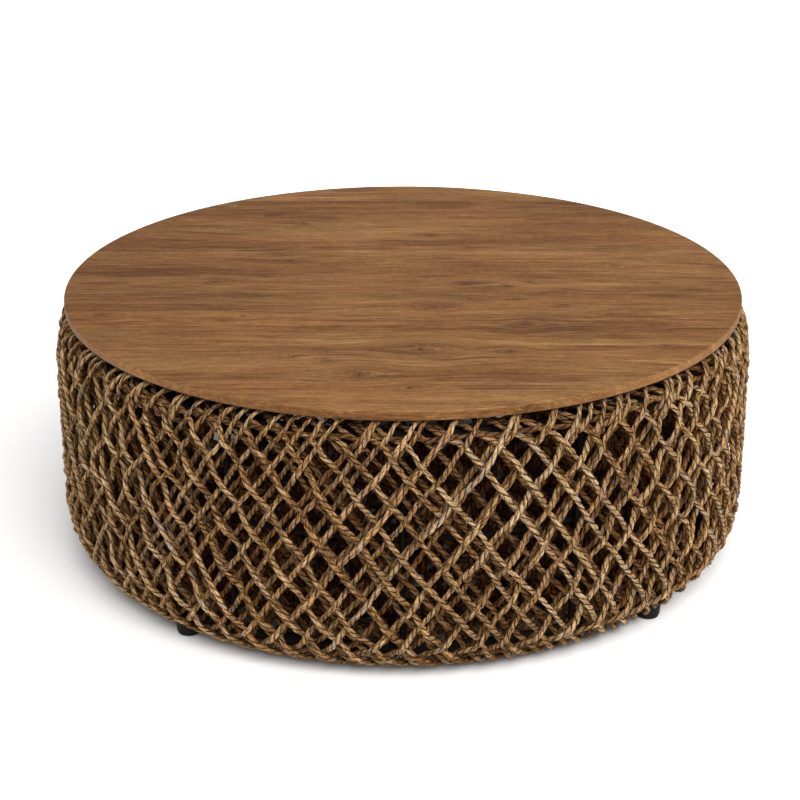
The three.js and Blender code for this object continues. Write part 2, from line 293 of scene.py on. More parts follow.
def wood_material(name, joints):
    m, n, b = material(name)
    co = n.new("ShaderNodeTexCoord").outputs["Object"]
    x, y, z = n.split(co)
    board = n.attr("board_seed")[2]
    tone = n.attr("board_tone")[2]
    group = knot_group()
    sums = {}
    for kx, ky, size, trail in KNOTS:
        k = n.new("ShaderNodeGroup")
        k.node_tree = group
        for s, v in (("x", x), ("y", y), ("at_x", kx * MM), ("at_y", ky * MM), ("size", size * MM), ("trail", trail)):
            n.put(k.inputs[s], v)
        for key in ("bend", "dark", "halo", "line"):
            sums[key] = k.outputs[key] if key not in sums else n.math("ADD" if key == "bend" else "MAXIMUM", sums[key], k.outputs[key])
    # grain lines run along X, drift a little, and part round the knots
    drift = n.noise(n.join(n.math("MULTIPLY", x, 1.7), n.math("ADD", n.math("MULTIPLY", y, 3.0), n.math("MULTIPLY", board, 7.3)), n.math("MULTIPLY", z, 2.0)), 1.0, 2.0, 0.5)
    wave = n.noise(n.join(n.math("MULTIPLY", x, 4.5), n.math("MULTIPLY", y, 22.0), n.math("MULTIPLY", board, 3.7)), 1.0, 3.0, 0.55)
    gy = n.math("SUBTRACT", y, n.math("MULTIPLY", sums["bend"], 0.90))
    gy = n.math("ADD", gy, n.math("MULTIPLY", n.math("SUBTRACT", drift, 0.5), 0.035))
    gy = n.math("ADD", gy, n.math("MULTIPLY", n.math("SUBTRACT", wave, 0.5), 0.0055))
    gz = n.math("ADD", n.math("MULTIPLY", z, 1.0), n.math("MULTIPLY", board, 0.37))

    def streak(sx, sy, detail, rough, shift=0.0):
        return n.noise(n.join(n.math("ADD", n.math("MULTIPLY", x, sx), shift), n.math("MULTIPLY", gy, sy), n.math("MULTIPLY", gz, sy)), 1.0, detail, rough)

    def blotch(sx, sy, shift, detail=3.0):
        return n.noise(n.join(n.math("MULTIPLY", x, sx), n.math("MULTIPLY", gy, sy), n.math("ADD", n.math("MULTIPLY", board, 5.1), shift)), 1.0, detail, 0.55)

    bands = streak(1.4, 19.0, 3.0, 0.6)           # broad heartwood bands
    mids = streak(2.8, 66.0, 4.0, 0.68, 4.0)      # growth rings, some millimetres apart
    thin = streak(6.0, 150.0, 3.0, 0.66, 6.0)
    hair = streak(13.0, 290.0, 3.0, 0.68, 21.0)
    fibre = streak(24.0, 600.0, 3.0, 0.70, 9.0)   # fine fibre
    pores = streak(60.0, 1100.0, 2.0, 0.6, 2.0)    # short open pores
    fleck = streak(110.0, 420.0, 2.0, 0.7, 17.0)   # short flecks, some millimetres long
    dash = streak(5.5, 185.0, 2.0, 0.5, 13.0)     # dark lines a few centimetres long, in clusters
    cloud = blotch(4.2, 10.0, 0.0)
    sheen_and_tone = blotch(3.1, 13.0, 8.0)
    t = n.math("ADD", n.math("MULTIPLY", bands, 0.85), n.math("MULTIPLY", mids, 0.36))
    t = n.math("ADD", t, n.math("ADD", n.math("MULTIPLY", thin, 0.50), n.math("MULTIPLY", hair, 1.30)))
    t = n.math("ADD", t, n.math("ADD", n.math("MULTIPLY", fibre, 0.50), n.math("MULTIPLY", fleck, 0.80)))
    t = n.math("ADD", t, n.math("MULTIPLY", cloud, 0.52))
    t = n.math("ADD", t, n.math("MULTIPLY", tone, 0.07))
    t = n.span(t, 2.070, 2.785)
    col = n.ramp(t, [(0.0, (0.098, 0.036, 0.0110)), (0.28, (0.160, 0.067, 0.0205)), (0.5, (0.212, 0.096, 0.0310)),
                     (0.75, (0.262, 0.126, 0.0440)), (1.0, (0.345, 0.182, 0.0700))])
    # some stretches are olive brown; others are painted lighter and more orange, a painted sheen
    col = n.mix(n.span(sheen_and_tone, 0.50, 0.66, 0.0, 0.55), col, n.mix(1.0, col, (1.10, 0.98, 0.92), "MULTIPLY"))
    col = n.mix(n.span(sheen_and_tone, 0.36, 0.48, 0.70, 0.0), col, n.mix(1.0, col, (0.90, 0.95, 0.90), "MULTIPLY"))
    group_of = n.math("MULTIPLY", n.span(dash, 0.555, 0.60), n.span(blotch(6.0, 19.0, 3.0, 2.0), 0.48, 0.58))
    col = n.mix(n.math("MULTIPLY", group_of, 0.70), col, (0.090, 0.032, 0.012))
    col = n.mix(n.span(pores, 0.60, 0.72, 0.0, 0.40), col, (0.085, 0.036, 0.017))
    # fine ring lines that run a long way, thin and crisp
    ring = n.math("ABSOLUTE", n.math("SUBTRACT", n.math("FRACT", n.math("MULTIPLY", streak(0.9, 17.0, 2.0, 0.45, 31.0), 4.0)), 0.5))
    ring = n.math("MULTIPLY", n.span(ring, 0.0, 0.075, 1.0, 0.0), n.span(blotch(2.4, 8.0, 12.0, 2.0), 0.46, 0.60))
    ring = n.math("MULTIPLY", ring, n.span(hair, 0.35, 0.60, 1.0, 0.35))
    col = n.mix(n.math("MULTIPLY", ring, 0.50), col, (0.098, 0.038, 0.0135))
    # painted shade: the left end of the top is painted darker
    col = n.mix(n.span(x, -0.46, -0.20, 1.0, 0.0), col, n.mix(1.0, col, (0.88, 0.89, 0.90), "MULTIPLY"))
    # knots: a ragged dark core, a smudged halo of short fibres, and a dark line that runs on with the grain
    ragged = n.noise(n.join(n.math("MULTIPLY", x, 190.0), n.math("MULTIPLY", gy, 420.0), 0.0), 1.0, 3.0, 0.6)
    halo = n.math("MULTIPLY", sums["halo"], n.span(n.math("ADD", thin, ragged), 0.85, 1.20, 1.0, 0.0))
    col = n.mix(n.math("MULTIPLY", halo, 0.68), col, (0.088, 0.037, 0.015))
    trail = n.math("MULTIPLY", sums["line"], n.span(thin, 0.36, 0.56, 1.0, 0.15))
    col = n.mix(n.math("MULTIPLY", trail, 0.75), col, (0.090, 0.032, 0.014))
    core = n.math("MULTIPLY", sums["dark"], n.span(ragged, 0.36, 0.58, 1.0, 0.30))
    col = n.mix(n.math("MULTIPLY", core, 0.92, clamp=True), col, (0.046, 0.016, 0.007))
    # edges of the boards: the glue joint shows as a fine pale line
    line = None
    for jy, strength in joints:
        d = n.math("ABSOLUTE", n.math("SUBTRACT", y, jy * MM))
        f = n.span(d, 0.0003, 0.0011, strength, 0.0)
        line = f if line is None else n.math("MAXIMUM", line, f)
    line = n.math("MULTIPLY", line, n.span(cloud, 0.3, 0.6, 0.25, 1.0))
    col = n.mix(line, col, (0.42, 0.27, 0.145))
    # the turned edge: browner along the grain, paler where it cuts across the fibres
    nz = n.split(n.new("ShaderNodeNewGeometry").outputs["Normal"])[2]
    side = n.span(n.math("ABSOLUTE", nz), 0.35, 0.9, 1.0, 0.0)
    pale = n.ramp(t, [(0.0, (0.220, 0.104, 0.034)), (0.5, (0.325, 0.159, 0.053)), (1.0, (0.430, 0.232, 0.088))])
    rough_cut = n.noise(n.join(n.math("MULTIPLY", x, 34.0), 0.0, n.math("MULTIPLY", z, 150.0)), 1.0, 4.0, 0.65)
    deep = n.mix(1.0, col, n.ramp(rough_cut, [(0.34, (0.50, 0.42, 0.33)), (0.52, (0.68, 0.61, 0.50)), (0.70, (0.80, 0.76, 0.68))]), "MULTIPLY")
    for at, wide, dark in ((-125, 17, 0.62), (-215, 11, 0.50), (148, 9, 0.30)):
        near = n.span(n.math("ABSOLUTE", n.math("SUBTRACT", x, at * MM)), wide * 0.3 * MM, wide * MM, 1.0, 0.0, smooth=True)
        near = n.math("MULTIPLY", near, n.span(ragged, 0.36, 0.60, 1.0, 0.2))
        deep = n.mix(n.math("MULTIPLY", near, dark), deep, (0.070, 0.026, 0.014))
    crack = n.math("ABSOLUTE", n.math("ADD", n.math("SUBTRACT", x, n.math("MULTIPLY", n.math("SUBTRACT", z, 0.374), 1.8)), 0.027))
    deep = n.mix(n.span(crack, 0.0005, 0.0022, 0.55, 0.0), deep, (0.070, 0.026, 0.014))
    cut = n.mix(n.span(n.math("ABSOLUTE", n.math("SUBTRACT", x, 0.03)), 0.13, 0.36, 0.0, 0.72), deep, pale)
    col = n.mix(side, col, n.mix(1.0, cut, (0.90, 0.88, 0.86), "MULTIPLY"))
    n.put(b.inputs["Base Color"], col)
    n.put(b.inputs["Roughness"], n.span(fibre, 0.2, 0.8, 0.66, 0.48))
    b.inputs["Specular IOR Level"].default_value = 0.14
    h = n.math("ADD", n.math("MULTIPLY", fibre, 0.6), n.math("ADD", n.math("MULTIPLY", thin, 0.6), n.span(pores, 0.60, 0.72, 0.0, -0.9)))
    h = n.math("SUBTRACT", h, n.math("ADD", n.math("MULTIPLY", core, 0.9), n.math("MULTIPLY", group_of, 0.5)))
    n.put(b.inputs["Normal"], n.bump(h, 0.35, 0.0006))
    return m


def steel_material(name):
    m, n, b = material(name)
    co = n.new("ShaderNodeTexCoord").outputs["Object"]
    peel = n.noise(co, 900.0, 2.0, 0.5)
    dust_and_side_shade = n.noise(co, 22.0, 4.0, 0.6)
    col = n.ramp(dust_and_side_shade, [(0.3, (0.0050, 0.0036, 0.0026)), (0.7, (0.0110, 0.0080, 0.0056))])
    n.put(b.inputs["Base Color"], col)
    n.put(b.inputs["Roughness"], n.span(dust_and_side_shade, 0.3, 0.7, 0.46, 0.66))
    b.inputs["Specular IOR Level"].default_value = 0.06
    n.put(b.inputs["Normal"], n.bump(peel, 0.25, 0.0003))
    return m


def screw_material(name):
    m, n, b = material(name)
    co = n.new("ShaderNodeTexCoord").outputs["Object"]
    turned = n.noise(n.vec("MULTIPLY", co, (900.0, 900.0, 5200.0)), 1.0, 2.0, 0.5)
    tarnish = n.noise(co, 160.0, 3.0, 0.6)
    n.put(b.inputs["Base Color"], n.ramp(tarnish, [(0.3, (0.28, 0.26, 0.22)), (0.7, (0.52, 0.51, 0.48))]))
    b.inputs["Metallic"].default_value = 1.0
    n.put(b.inputs["Roughness"], n.span(turned, 0.3, 0.7, 0.28, 0.5))
    n.put(b.inputs["Normal"], n.bump(turned, 0.2, 0.0002))
    return m


def foot_material(name):
    m, n, b = material(name)
    co = n.new("ShaderNodeTexCoord").outputs["Object"]
    grainy = n.noise(co, 1500.0, 2.0, 0.5)
    scuff = n.noise(co, 60.0, 4.0, 0.65)
    n.put(b.inputs["Base Color"], n.ramp(scuff, [(0.35, (0.0035, 0.0033, 0.0032)), (0.72, (0.010, 0.0095, 0.009))]))
    n.put(b.inputs["Roughness"], n.span(scuff, 0.3, 0.7, 0.48, 0.68))
    b.inputs["Specular IOR Level"].default_value = 0.12
    n.put(b.inputs["Normal"], n.bump(grainy, 0.3, 0.0002))
    return m


# ------------------------------------------------------------ mesh helpers
def put_mesh(name, verts, faces, mat, smooth=True):
    """verts in metres; faces an (n, 4) or (n, 3) index array, or a list of such arrays."""
    groups = faces if isinstance(faces, list) else [faces]
    me = bpy.data.meshes.new(name)
    me.vertices.add(len(verts))
    me.vertices.foreach_set("co", np.asarray(verts, np.float32).ravel())
    loops = np.concatenate([g.ravel() for g in groups]).astype(np.int32)
    sizes = np.concatenate([np.full(len(g), g.shape[1], np.int32) for g in groups])
    me.loops.add(len(loops))
    me.loops.foreach_set("vertex_index", loops)
    me.polygons.add(len(sizes))
    starts = np.concatenate([[0], np.cumsum(sizes)[:-1]]).astype(np.int32)
    me.polygons.foreach_set("loop_start", starts)
    me.update(calc_edges=True)
    me.validate()
    me.polygons.foreach_set("use_smooth", np.full(len(sizes), smooth))
    me.materials.append(mat)
    ob = bpy.data.objects.new(name, me)
    scene.collection.objects.link(ob)
    return ob


def bumps(rows, length, step, seed, smooth=2):
    """Smooth random numbers, about -1 to 1: one row per rope, sampled at length points a step apart from knots."""
    g = np.random.default_rng(seed)
    knots = max(4, int(math.ceil(length[-1] / step)) + 4)
    k = g.uniform(-1, 1, (rows, knots))
    pos = length / step
    i = np.clip(pos.astype(int), 0, knots - 2)
    f = pos - i
    f = f * f * (3 - 2 * f)
    return k[:, i] * (1 - f) + k[:, i + 1] * f


# ------------------------------------------------------------------- ropes
PITCH = 25.5          # one full turn of the two plies
N_ROPE = 70           # ropes of each lean in one pass
SPACE = 2 * math.pi / N_ROPE
LEAN = math.radians(36.0)
HALF = 3.9            # half of a rope's thickness, and of its travel from over to under

RIM = [(418, 58), (418, 44), (418, 34), (419.4, 26.5), (424, 21.2), (432, 18.2), (441.2, 18.0), (448, 20.4), (457.3, 26.8)]
TOP = [(473.5, 353), (466, 357.4), (457, 358.9), (446, 358.6), (438.5, 355), (434.5, 347), (433.3, 338), (433, 330)]
# the left-leaning ropes lie lower there, under the others
TOP_LOW = [(471.5, 350), (464, 353.6), (456, 355.1), (446, 355.0), (438.8, 351.8), (434.6, 344), (433.3, 336), (433, 330)]
# mean paths, radius and height, from inside the bottom, round the rim, up the wall and over the shoulder
WALL_OUT = RIM + [(465.3, 34.6), (473.8, 44.6), (479.8, 58.8), (484.2, 77.5), (485.6, 150), (486, 240), (485.2, 290),
                  (483.7, 318), (480.8, 335)]
WALL_MID = RIM[:-1] + [(454, 27), (458, 36), (460.5, 48), (462.5, 62), (464, 85), (465, 150), (465.3, 240), (465.6, 290),
                       (467.5, 312), (470.8, 330)]
INNER = [(433, 330), (431, 318), (428, 300), (425.5, 270), (425, 190), (424.5, 110), (422.5, 80), (419.5, 66), (418, 58)]
PATH = {"A": WALL_OUT + [(477, 343)] + TOP_LOW, "B": WALL_OUT + [(477.7, 345)] + TOP, "C": WALL_MID + [(472.6, 340)] + TOP_LOW,
        "D": WALL_MID + [(474, 342)] + TOP, "E": INNER, "F": INNER}
SIGN = {"A": -1, "B": 1, "C": -1, "D": 1, "E": 1, "F": -1}   # turn of the angle along the path
COUNT = {"A": 70, "B": 70, "C": 70, "D": 70, "E": 140, "F": 140}
DETAIL = {"A": (14, 10), "B": (14, 10), "C": (10, 7), "D": (10, 7), "E": (8, 6), "F": (8, 6)}
THICK = {"A": 0.91, "B": 0.91, "C": 0.91, "D": 0.91, "E": 1.30, "F": 1.30}
START = {"A": 0.0, "B": 0.25, "C": 0.5, "D": 0.75}


def smooth_profile(points, step=1.0):
    """The path through the points as arc length, radius, height and outward normal."""
    p = np.array(points, float)
    t = np.concatenate([[0], np.cumsum(np.sqrt(np.linalg.norm(np.diff(p, axis=0), axis=1)))])
    ext = np.vstack([2 * p[0] - p[1], p, 2 * p[-1] - p[-2]])
    te = np.concatenate([[2 * t[0] - t[1]], t, [2 * t[-1] - t[-2]]])
    dense = []
    for i in range(len(p) - 1):
        p0, p1, p2, p3 = ext[i:i + 4]
        t0, t1, t2, t3 = te[i:i + 4]
        for u in np.linspace(t1, t2, 24, endpoint=False):
            a1 = (t1 - u) / (t1 - t0) * p0 + (u - t0) / (t1 - t0) * p1
            a2 = (t2 - u) / (t2 - t1) * p1 + (u - t1) / (t2 - t1) * p2
            a3 = (t3 - u) / (t3 - t2) * p2 + (u - t2) / (t3 - t2) * p3
            b1 = (t2 - u) / (t2 - t0) * a1 + (u - t0) / (t2 - t0) * a2
            b2 = (t3 - u) / (t3 - t1) * a2 + (u - t1) / (t3 - t1) * a3
            dense.append((t2 - u) / (t2 - t1) * b1 + (u - t1) / (t2 - t1) * b2)
    dense.append(p[-1])
    dense = np.array(dense)
    s = np.concatenate([[0], np.cumsum(np.linalg.norm(np.diff(dense, axis=0), axis=1))])
    q = np.arange(0, s[-1] + 1e-9, step)
    r, z = np.interp(q, s, dense[:, 0]), np.interp(q, s, dense[:, 1])
    dr, dz = np.gradient(r), np.gradient(z)
    ln = np.hypot(dr, dz)
    return q, r, z, dz / ln, -dr / ln


def ease(x):
    x = np.clip(x, 0, 1)
    return x * x * (3 - 2 * x)


def family(kind, total=None):
    """The mean path of one family: length along the rope, radius, height, normal and turn at each point."""
    q, r, z, nr, nz = smooth_profile(PATH[kind])
    a = np.full_like(q, LEAN)
    if kind in "AC":
        # these turn nearly level where they dive under the others at the shoulder
        outside = r > 455
        a = a + math.radians(26 if kind == "A" else 14) * ease((z - 330) / 12) * ease((352 - z) / 8) * outside
    if kind in "ABCD":
        # and they slant more as they turn under the rim
        a = a + math.radians(12) * ease((30 - z) / 14)
    slope = np.tan(a) / r
    k = np.concatenate([[0], np.cumsum((slope[1:] + slope[:-1]) / 2 * np.diff(q))])
    if total is not None:
        k *= total / k[-1]
    slope = np.gradient(k, q)
    grow = np.sqrt(1 + (slope * r) ** 2)
    ln = np.concatenate([[0], np.cumsum((grow[1:] + grow[:-1]) / 2 * np.diff(q))])
    s = np.linspace(0, ln[-1], int(round(ln[-1] / PITCH * DETAIL[kind][0])) + 1)
    f = {"s": s}
    for key, val in (("r", r), ("z", z), ("nr", nr), ("nz", nz), ("k", k), ("q", q)):
        f[key] = np.interp(s, ln, val)
    return f


fam = {k: family(k) for k in "AB"}
fam["C"] = family("C", fam["A"]["k"][-1])
fam["D"] = family("D", fam["B"]["k"][-1])
for kind, src in (("E", "B"), ("F", "A")):
    # the inner wall's ropes carry on from the top to the bottom, where they meet the outer ones again
    free = family(kind)["k"][-1]
    want = -fam[src]["k"][-1]
    fam[kind] = family(kind, want + round((free - want) / (SPACE / 2)) * SPACE / 2)
theta0 = {k: (np.arange(N_ROPE) + START[k]) * SPACE for k in "ABCD"}


def wander(kind, seed):
    """Each rope's own drift to one side, in millimetres along the girth; none at the rim, where ropes lie side by side."""
    f = fam[kind]
    g = np.random.default_rng(seed)
    up = f["q"] > f["q"][-1] * 0.5
    fade = ease((f["z"] - 16) / 60) * np.where(up, np.clip((372 - f["z"]) / 60, 0.85, 1), 1) * (f["q"] > 60)
    slow = bumps(N_ROPE, f["s"] + 37, 170.0, seed + 1) * 5.0
    fine = bumps(N_ROPE, f["s"] + 11, 36.0, seed + 2) * 1.5 + bumps(N_ROPE, f["s"] + 23, 78.0, seed + 3) * 2.8
    tilt = g.normal(0, 1.0, (N_ROPE, 1)).clip(-1.8, 1.8) * (f["s"] / f["s"][-1] - 0.45) * (14.0 if kind in "AB" else 20.0)
    shift = g.normal(0, 1.0, (N_ROPE, 1)).clip(-1.8, 1.8) * (4.4 if kind in "AB" else 7.0)
    return fade * (slow + fine + tilt + shift)


# here and there the ropes of every pass have strayed to either side, and one sees right through: a point on the
# outside, the direction of the opening, and half of its width, in millimetres
OPENINGS = [((-232, -427, 323), (-0.0906, 0.9128, -0.3981), 4.5), ((-297, -385, 274), (-0.1131, 0.9064, -0.4069), 5),
            ((-335, -352, 231), (-0.1250, 0.9011, -0.4151), 4), ((-361, -325, 188), (-0.1325, 0.8960, -0.4239), 4),
            ((-334, -353, 329), (-0.1265, 0.9146, -0.3841), 4.5), ((-304, -379, 322), (-0.1165, 0.9132, -0.3904), 3.5),
            ((304, -379, 326), (0.1165, 0.9138, -0.3891), 4.5), ((346, -341, 315), (0.1303, 0.9128, -0.3871), 4.5)]


def strayed(kind, th):
    """The ropes' angles with the ropes pushed clear of the openings."""
    f = fam[kind]
    wall = (f["r"] > (450 if kind in "ABCD" else 400)) & (f["z"] > 36)
    order = np.argsort(f["z"][wall])
    zz, rr = f["z"][wall][order], f["r"][wall][order]
    slant = SIGN[kind] * (-1.0 if kind in "EF" else 1.0) * math.tan(LEAN)
    half = 4.2 * THICK[kind]
    for (x, y, z0), (dx, dy, dz), wide in OPENINGS + OPENINGS:
        for root in (-1, 1):
            r = float(np.interp(z0, zz, rr))
            for _ in range(4):
                a, b, c = dx * dx + dy * dy, x * dx + y * dy, x * x + y * y - r * r
                t = (-b + root * math.sqrt(max(b * b - a * c, 0.0))) / a
                z = z0 + t * dz
                r = float(np.interp(z, zz, rr))
            if not 42 < z < 338:
                continue
            girth = ((th - math.atan2(y + t * dy, x + t * dx) + math.pi) % (2 * math.pi) - math.pi) * r
            high = f["z"][None, :] - z
            across = (girth - slant * high) * math.cos(LEAN)
            past = (high + slant * girth) * math.cos(LEAN)
            far = across ** 2 + past ** 2 + 1e9 * ~wall[None, :]
            near = np.take_along_axis(across, far.argmin(1)[:, None], 1)
            side = np.where(near >= 0, 1.0, -1.0)
            push = side * np.clip(wide + half - side * across, 0, None) * np.exp(-(past / 26.0) ** 2)
            th = th + np.where((np.abs(across - near) < 22) & (np.abs(near) < wide + half) & wall[None, :], push, 0.0) / math.cos(LEAN) / r
    return th


angle = {}
for i, k in enumerate("ABCD"):
    f = fam[k]
    angle[k] = strayed(k, theta0[k][:, None] + SIGN[k] * f["k"][None, :] + wander(k, 100 + 7 * i) / f["r"][None, :])


def interlace(lo, hi, t_lo, t_hi, seed, flip, favour):
    """Plain weave of a left-turning and a right-turning family with some crossings swapped: for each rope a smooth
    number from -1, under, to 1, over."""
    g = np.random.default_rng(seed)
    na, nb = len(t_lo), len(t_hi)
    swap = g.random((na, nb)) < flip
    forced = g.random((na, nb)) < favour
    fa, fb = fam[lo], fam[hi]
    if lo == "F":
        swap[:] = False
    pairs = {lo: [[] for _ in range(na)], hi: [[] for _ in range(nb)]}
    # crossings lie where the angles of the mean paths meet: t_lo - k_lo(q) = t_hi + k_hi(q)
    qs = np.linspace(0, fa["q"][-1], 900)
    both = np.interp(qs, fa["q"], fa["k"]) + np.interp(qs, fb["q"], fb["k"])
    for i in range(na):
        for j in range(nb):
            gap = (t_lo[i] - t_hi[j]) % (2 * math.pi)
            turn = 0
            while gap <= both[-1]:
                q = np.interp(gap, both, qs)
                over = (i + j + turn * (na + nb)) % 2 == 0
                if swap[i, j]:
                    over = bool(forced[i, j])
                pairs[lo][i].append((np.interp(q, fa["q"], fa["s"]), 1.0 if over else -1.0))
                pairs[hi][j].append((np.interp(q, fb["q"], fb["s"]), -1.0 if over else 1.0))
                gap += 2 * math.pi
                turn += 1
    out = {}
    for kind, rows_n in ((lo, na), (hi, nb)):
        s = fam[kind]["s"]
        rows = np.zeros((rows_n, len(s)))
        for i, lst in enumerate(pairs[kind]):
            lst.sort()
            xs = np.array([p[0] for p in lst])
            ys = np.array([p[1] for p in lst])
            j = np.searchsorted(xs, s) - 1
            a, b = np.clip(j, 0, len(xs) - 1), np.clip(j + 1, 0, len(xs) - 1)
            f = np.where(b > a, (s - xs[a]) / np.maximum(xs[b] - xs[a], 1e-6), 0.0)
            f = ease(f * 1.16 - 0.08)
            rows[i] = ys[a] * (1 - f) + ys[b] * f
        out[kind] = rows
    return out


lift = {}
lift.update(interlace("A", "B", theta0["A"], theta0["B"], 5, 0.17, 0.72))
lift.update(interlace("C", "D", theta0["C"], theta0["D"], 6, 0.25, 0.5))
for kind in "ABCD":
    # at the rim the left-leaning ropes lie outside, at the shoulder the right-leaning ones
    f = fam[kind]
    late = f["q"] > f["q"][-1] * 0.5
    rim = np.where(late, 0.0, 1 - ease((f["z"] - 34) / 24))
    top = np.where(late, np.maximum(ease((f["z"] - 318) / 22), f["r"] < 470), 0.0)
    side = 1.0 if kind in "AC" else -1.0
    lift[kind] = lift[kind] * (1 - rim - top) + side * rim - side * top


def two_ply(name, centre, nrm, s, sides, mat, seed, phase=None, end_phase=None, thick=1.0, pitch=PITCH, painted_shade=1.0, dust_and_side_shade=0.62):
    """Twisted two-ply ropes as closed tubes. centre and nrm are (rope, point, 3) in millimetres; s is (point,)."""
    rows, pts = centre.shape[:2]
    g = np.random.default_rng(seed)
    tan = np.gradient(centre, axis=1)
    tan /= np.linalg.norm(tan, axis=2, keepdims=True)
    nrm = nrm - (nrm * tan).sum(2, keepdims=True) * tan
    nrm /= np.linalg.norm(nrm, axis=2, keepdims=True)
    bi = np.cross(tan, nrm)
    own = 1 + 0.11 * g.normal(0, 1, (rows, 1)).clip(-2, 2)
    rate = 2 * math.pi / pitch / own * (1 + 0.28 * bumps(rows, s, 60.0, seed + 3))
    turn = np.concatenate([np.zeros((rows, 1)), np.cumsum((rate[:, 1:] + rate[:, :-1]) / 2 * np.diff(s), axis=1)], axis=1)
    ph = g.uniform(0, 2 * math.pi, rows) if phase is None else phase
    if end_phase is not None:
        off = (ph - turn[:, -1] - end_phase) % math.pi
        off = np.where(off > math.pi / 2, off - math.pi, off)
        turn = turn * ((turn[:, -1] + off) / turn[:, -1])[:, None]
    size = thick * (1 + 0.05 * g.normal(0, 1, (rows, 1)).clip(-2, 2)) * (1 + 0.07 * bumps(rows, s, 55.0, seed + 4))
    verts = np.empty((rows, 2, pts, sides, 3), np.float32)
    for ply in range(2):
        fi = ph[:, None] - turn + math.pi * ply          # left-handed
        lump = 1 + 0.20 * bumps(rows, s + 5, 11.0, seed + 5 + ply)
        out = 1 + 0.15 * bumps(rows, s + 9, 19.0, seed + 7 + ply)
        er = np.cos(fi)[..., None] * nrm + np.sin(fi)[..., None] * bi
        et = -np.sin(fi)[..., None] * nrm + np.cos(fi)[..., None] * bi
        mid = centre + (1.60 * size * out)[..., None] * er
        for i in range(sides):
            a = 2 * math.pi * i / sides
            ridge = 1 + 0.11 * bumps(rows, s + 3 * i, 12.0, seed + 11 + 2 * i + ply) + (0.035 if i % 2 else -0.035)
            rad = (lump * size * ridge)[..., None]
            verts[:, ply, :, i] = mid + er * (2.56 * math.cos(a)) * rad + et * (3.15 * math.sin(a)) * rad
    # painted shade: the side of a rope that faces in and down is painted darker than the side that faces out and up
    away = verts - centre[:, None, :, None, :]
    away /= np.linalg.norm(away, axis=4, keepdims=True)
    facing = (away * (nrm * 0.92 + np.array([0, 0, 0.38]))[:, None, :, None, :]).sum(4)
    painted_side_shade = 1 - dust_and_side_shade * ease((0.6 - facing) / 1.1)
    strands = rows * 2
    verts = verts.reshape(strands, pts * sides, 3)
    base = (np.arange(strands) * pts * sides)[:, None]
    i, j = np.meshgrid(np.arange(pts - 1), np.arange(sides), indexing="ij")
    a = (i * sides + j).ravel()
    b = (i * sides + (j + 1) % sides).ravel()
    quad = np.stack([a, b, b + sides, a + sides], -1)
    quads = (base[:, :, None] + quad[None]).reshape(-1, 4)
    cap0 = np.arange(sides)[::-1]
    cap1 = np.arange(sides) + (pts - 1) * sides
    caps = np.concatenate([base + cap0, base + cap1])
    ob = put_mesh(name, verts.reshape(-1, 3) * MM, [quads, caps], mat)
    me = ob.data
    # u in millimetres along the ply, v once round it
    v = np.arange(sides) / sides
    u0, v0 = s[i.ravel()], (j / sides).ravel()
    u1, v1 = s[(i + 1).ravel()], ((j + 1) / sides).ravel()
    one = np.stack([u0, v0, u0, v1, u1, v1, u1, v0], -1).reshape(-1, 2)
    uv = np.concatenate([np.tile(one, (strands, 1)), np.tile(np.stack([np.zeros(sides), v], -1), (strands, 1)),
                         np.tile(np.stack([np.full(sides, s[-1]), v], -1), (strands, 1))]).astype(np.float32)
    layer = me.uv_layers.new(name="strand")
    layer.uv.foreach_set("vector", uv.ravel())
    # a second map without overlaps: one strip for each ply, and its two caps in the ends of the strip
    row_of = np.concatenate([np.repeat(np.arange(strands), len(one)), np.tile(np.repeat(np.arange(strands), sides), 2)])
    nq, nc = strands * len(one), strands * sides
    bu = 0.004 + 0.992 * uv[:, 0] / s[-1]
    bv = (row_of + 0.05 + 0.9 * uv[:, 1]) / strands
    round_ = 2 * math.pi * uv[nq:, 1]
    bu[nq:] = np.where(np.arange(2 * nc) < nc, 0.0015, 0.9985) + 0.001 * np.cos(round_)
    bv[nq:] = (row_of[nq:] + 0.5 + 0.3 * np.sin(round_)) / strands
    bake = me.uv_layers.new(name="OFBake")
    bake.uv.foreach_set("vector", np.stack([bu, bv], -1).astype(np.float32).ravel())
    me.uv_layers.active = me.uv_layers["strand"]
    me.uv_layers["strand"].active_render = True
    # each ply's own colour
    tints = g.random((rows, 1, 3)) * 0.70 + g.random((rows, 2, 3)) * 0.30
    tint = me.attributes.new("ply_tint", "FLOAT_VECTOR", "POINT")
    tint.data.foreach_set("vector", np.repeat(tints.reshape(strands, 3), pts * sides, axis=0).astype(np.float32).ravel())
    sd = me.attributes.new("ply_seed", "FLOAT", "POINT")
    sd.data.foreach_set("value", np.repeat(g.random(strands), pts * sides).astype(np.float32))
    # painted shade for each vertex: the rope's painted depth shade times its painted side shade
    bl = np.broadcast_to(np.asarray(painted_shade, np.float32), (rows, pts)) if np.ndim(painted_shade) else np.full((rows, pts), painted_shade, np.float32)
    at = me.attributes.new("painted_shade", "FLOAT", "POINT")
    at.data.foreach_set("value", (bl[:, None, :, None] * painted_side_shade).astype(np.float32).ravel())
    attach(ob, BODY)
    return ob, ph - turn[:, -1]


rope = rope_material("twisted_fibre_rope")
NODE = {"A": "outer_rope_left_lean", "B": "outer_rope_right_lean", "C": "middle_rope_left_lean",
        "D": "middle_rope_right_lean", "E": "inner_rope_pass", "F": "inner_rope_pass"}
NAME = {"A": "outer_rope_left_lean", "B": "outer_rope_right_lean", "C": "middle_rope_left_lean",
        "D": "middle_rope_right_lean", "E": "inner_rope_right_turn", "F": "inner_rope_left_turn"}
SECTORS = {"A": 5, "B": 5, "C": 3, "D": 3, "E": 2, "F": 2}
EXTRA = {"A": ("bottom_rope_rim",), "B": ("shoulder_rope_wrap",)}


def pair(first, second):
    """Two interleaved families of 70 as one list of 140, in order round the table."""
    return np.stack([first, second], 1).reshape(-1)


